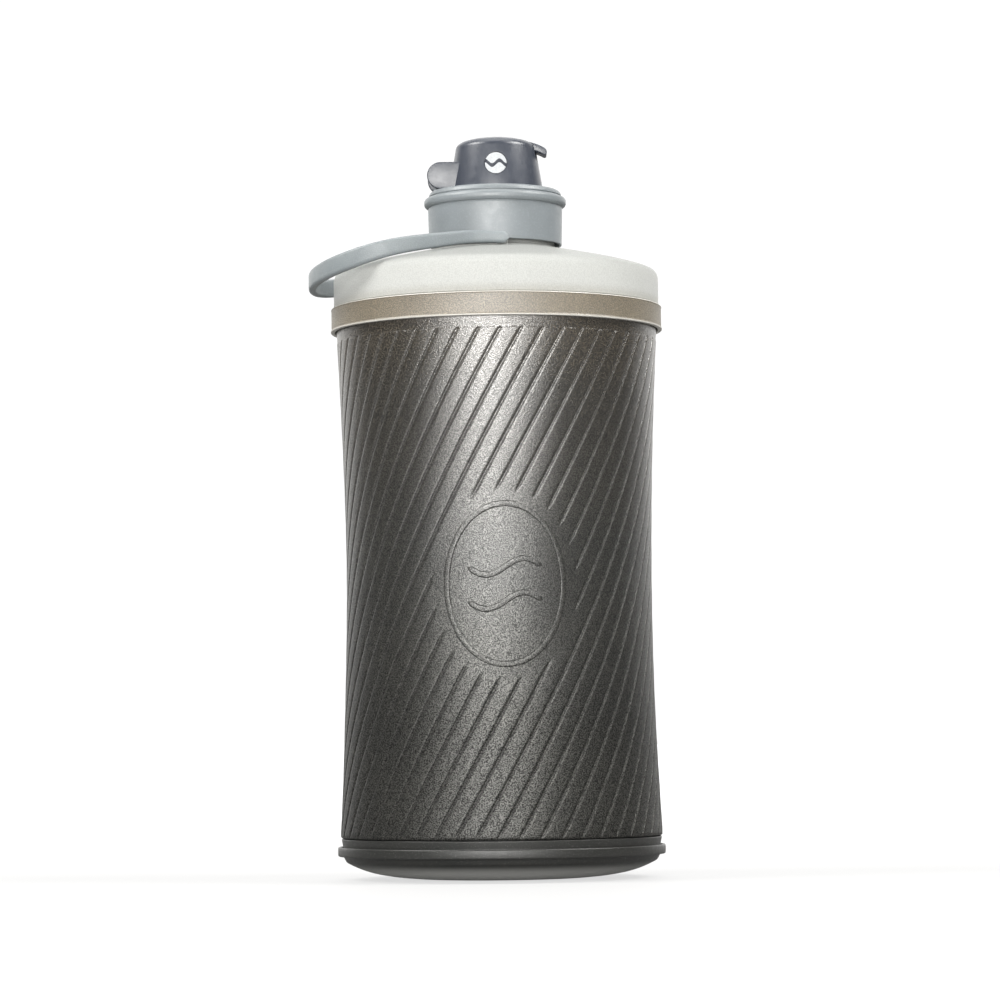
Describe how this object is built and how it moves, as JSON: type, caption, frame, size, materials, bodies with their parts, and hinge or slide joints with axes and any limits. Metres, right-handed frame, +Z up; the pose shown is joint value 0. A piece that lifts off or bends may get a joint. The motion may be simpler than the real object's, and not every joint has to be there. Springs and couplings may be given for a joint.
{
  "type": "folding water bottle",
  "caption": "Collapsible soft-walled water bottle with spiral pleats, a screw cap with a flip lid over its spout, and a swinging carry strap.",
  "frame": {"origin": "centre of the flat underside of the base, on the bottle's axis", "axes": "+Z up along the bottle's axis, +X towards the lid's thumb tab, the strap and the lid's hinge towards -X"},
  "size_m": [0.118, 0.1106, 0.2462],
  "materials": {
    "wall": "satin, finely speckled smoky translucent film",
    "base": "satin, smoky translucent",
    "band": "satin, speckled beige translucent",
    "shoulder": "frosted translucent",
    "cap": "satin moulded",
    "strap": "matte, fine grain",
    "lid": "satin moulded",
    "silicone": "matte",
    "badge": "satin inlay"
  },
  "bodies": {
    "base": {"base_pan": "base", "foot_ring": "base", "body_wall": "wall"},
    "band": {"weld_band": "band"},
    "top": {"shoulder": "shoulder", "strap_peg_front": "strap", "strap_peg_rear": "strap"},
    "strap": {"carry_strap": "strap"},
    "seal": {"cap_gasket": "silicone"},
    "cap": {"cap_shell": "cap", "drinking_spout": "cap", "spout_seal": "silicone", "hinge_pin": "cap"},
    "lid": {"flip_lid": "lid", "lid_plug": "silicone", "lid_badge": "badge"}
  },
  "joints": [
    {"name": "collapse", "type": "slide", "parent": "base", "child": "band", "axis": [0, 0, -1], "range_m": [0, 0.11], "deforming": ["body_wall"]},
    {"name": "collapse_twist", "type": "hinge", "parent": "band", "child": "top", "pos_m": [0, 0, 0.19], "axis": [0, 0, 1], "range_deg": [0, 60]},
    {"name": "strap_swing", "type": "hinge", "parent": "top", "child": "strap", "pos_m": [0.0025, 0, 0.2104], "axis": [0, 1, 0], "range_deg": [0, 178]},
    {"name": "cap_lift", "type": "slide", "parent": "top", "child": "seal", "axis": [0, 0, 1], "range_m": [0, 0.0201]},
    {"name": "cap_turn", "type": "hinge", "parent": "seal", "child": "cap", "pos_m": [0, 0, 0.2187], "axis": [0, 0, 1], "range_deg": [0, 1440]},
    {"name": "lid_flip", "type": "hinge", "parent": "cap", "child": "lid", "pos_m": [-0.0181, 0, 0.2339], "axis": [0, -1, 0], "range_deg": [0, 125]}
  ],
  "couplings": [
    {"joint": "collapse_twist", "follows": "collapse", "rad_per_m": 9.51},
    {"joint": "cap_lift", "follows": "cap_turn", "m_per_rad": 0.00079577}
  ]
}
